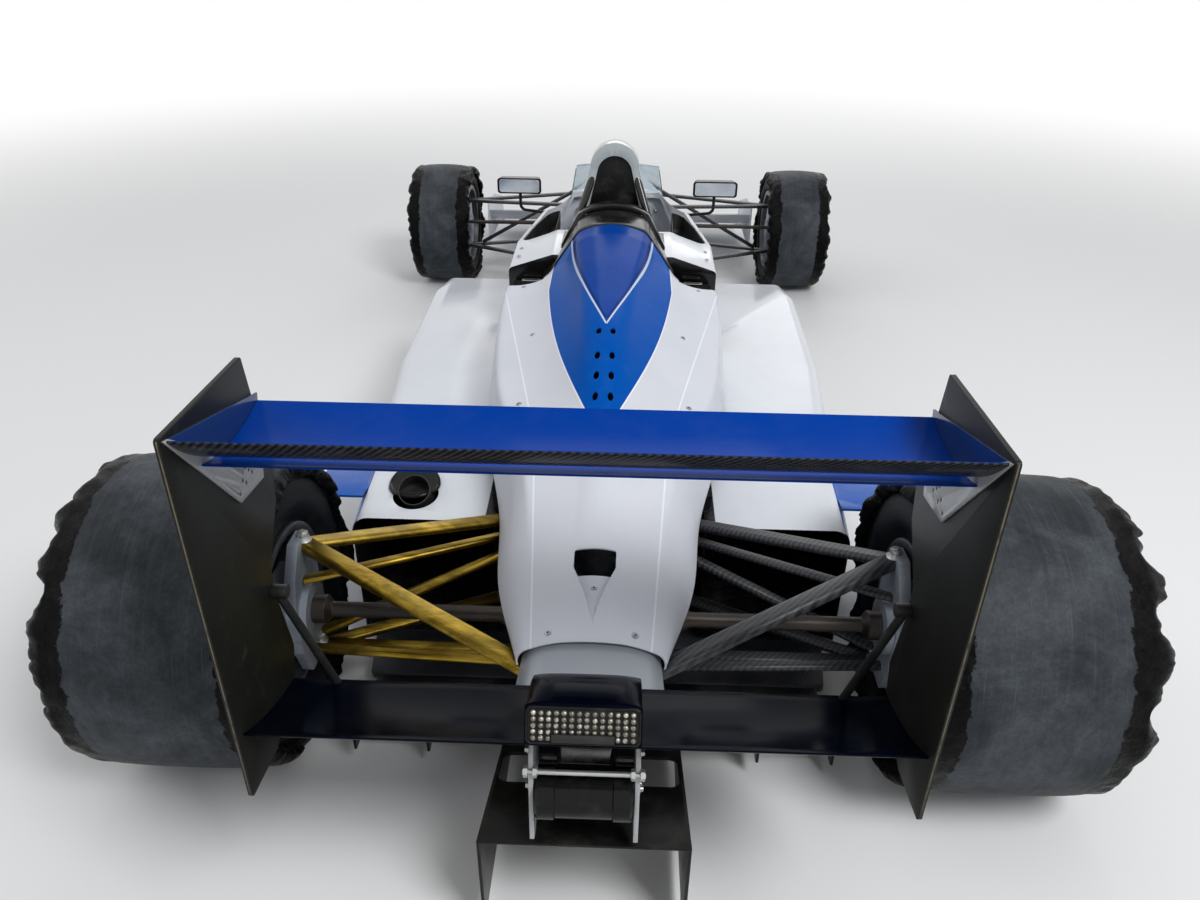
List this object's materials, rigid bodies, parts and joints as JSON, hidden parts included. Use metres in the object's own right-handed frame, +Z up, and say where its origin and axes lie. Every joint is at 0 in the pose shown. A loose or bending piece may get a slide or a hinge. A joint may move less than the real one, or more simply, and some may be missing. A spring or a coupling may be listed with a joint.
{
  "type": "open wheel racing car",
  "caption": "Full-size open wheel single-seat racing car with slick tyres, flat sidepods, a wide rear wing on tall endplates, wishbone suspension and steering that turns the front wheels",
  "frame": {"origin": "on the ground, halfway along the car and on its centre plane", "axes": "+Y to the nose, +X to the driver's right, +Z up"},
  "size_m": [2.004, 4.4358, 1.0149],
  "materials": {
    "white_paint": "pearl white clear-coated bodywork",
    "blue_paint": "deep blue gloss paint",
    "navy_paint": "near-black navy gloss paint",
    "carbon": "satin carbon fibre twill",
    "gold_wrap": "gold heat-reflecting wrap",
    "tinted_screen": "blue-green tinted screen",
    "satin_grey": "satin grey tube",
    "cast_alloy": "dull cast alloy",
    "heated_steel": "heat-darkened steel",
    "steel": "machined steel",
    "grey_plate": "light grey satin plate",
    "silver_bracket": "milled alloy",
    "pale_upright": "pale blue-grey paint",
    "suede_grip": "black suede",
    "slick_rubber": "worn slick rubber with pick-up on its shoulders",
    "rim_alloy": "forged alloy"
  },
  "bodies": {
    "chassis": {"monocoque": "white_paint", "nose_cone": "white_paint", "cockpit_surround": "white_paint", "windscreen": "tinted_screen", "seat": "carbon", "roll_hoop": "satin_grey", "engine_cover": "white_paint", "engine_block": "cast_alloy", "gearbox": "cast_alloy", "sidepod_left": "white_paint", "sidepod_right": "white_paint", "exhaust": "heated_steel", "floor": "carbon", "diffuser": "carbon", "rear_wing_main": "blue_paint", "rear_wing_flap": "blue_paint", "rear_endplate_left": "carbon", "rear_endplate_right": "carbon", "wing_end_ribs": "grey_plate", "beam_wing": "navy_paint", "rain_light": "carbon", "crash_structure": "silver_bracket", "wing_stays": "carbon", "rear_suspension_left": "gold_wrap", "rear_suspension_right": "carbon", "rear_uprights": "pale_upright", "front_suspension": "carbon", "mirrors": "carbon", "front_wing_main": "blue_paint", "front_wing_flaps": "blue_paint", "front_endplates": "carbon"},
    "steering_column": {"steering_wheel": "suede_grip"},
    "rack": {"steering_rack": "steel"},
    "knuckle_left": {"front_upright_left": "pale_upright"},
    "knuckle_right": {"front_upright_right": "pale_upright"},
    "wheel_front_left": {"tyre_front_left": "slick_rubber", "rim_front_left": "rim_alloy"},
    "wheel_front_right": {"tyre_front_right": "slick_rubber", "rim_front_right": "rim_alloy"},
    "wheel_rear_left": {"tyre_rear_left": "slick_rubber", "rim_rear_left": "rim_alloy", "half_shaft_left": "steel"},
    "wheel_rear_right": {"tyre_rear_right": "slick_rubber", "rim_rear_right": "rim_alloy", "half_shaft_right": "steel"}
  },
  "joints": [
    {"name": "steering", "type": "hinge", "parent": "chassis", "child": "steering_column", "pos_m": [0, 0.4395, 0.552], "axis": [0, 0.9511, -0.309], "range_deg": [-160, 160]},
    {"name": "steer_left", "type": "hinge", "parent": "chassis", "child": "knuckle_left", "pos_m": [-0.735, 1.2595, 0.274], "axis": [0, 0, 1], "range_deg": [-18.5, 18.5]},
    {"name": "steer_right", "type": "hinge", "parent": "chassis", "child": "knuckle_right", "pos_m": [0.735, 1.2595, 0.274], "axis": [0, 0, 1], "range_deg": [-18.5, 18.5]},
    {"name": "rack_slide", "type": "slide", "parent": "chassis", "child": "rack", "axis": [1, 0, 0], "range_m": [-0.031, 0.031]},
    {"name": "spin_front_left", "type": "hinge", "parent": "knuckle_left", "child": "wheel_front_left", "pos_m": [-0.834, 1.2595, 0.274], "axis": [1, 0, 0], "continuous": true},
    {"name": "spin_front_right", "type": "hinge", "parent": "knuckle_right", "child": "wheel_front_right", "pos_m": [0.834, 1.2595, 0.274], "axis": [1, 0, 0], "continuous": true},
    {"name": "spin_rear_left", "type": "hinge", "parent": "chassis", "child": "wheel_rear_left", "pos_m": [-0.786, -1.6905, 0.317], "axis": [1, 0, 0], "continuous": true},
    {"name": "spin_rear_right", "type": "hinge", "parent": "chassis", "child": "wheel_rear_right", "pos_m": [0.786, -1.6905, 0.317], "axis": [1, 0, 0], "continuous": true}
  ],
  "couplings": [
    {"joint": "steer_left", "follows": "steering", "ratio": -0.1125},
    {"joint": "steer_right", "follows": "steering", "ratio": -0.1125},
    {"joint": "rack_slide", "follows": "steering", "m_per_rad": -0.010513}
  ]
}
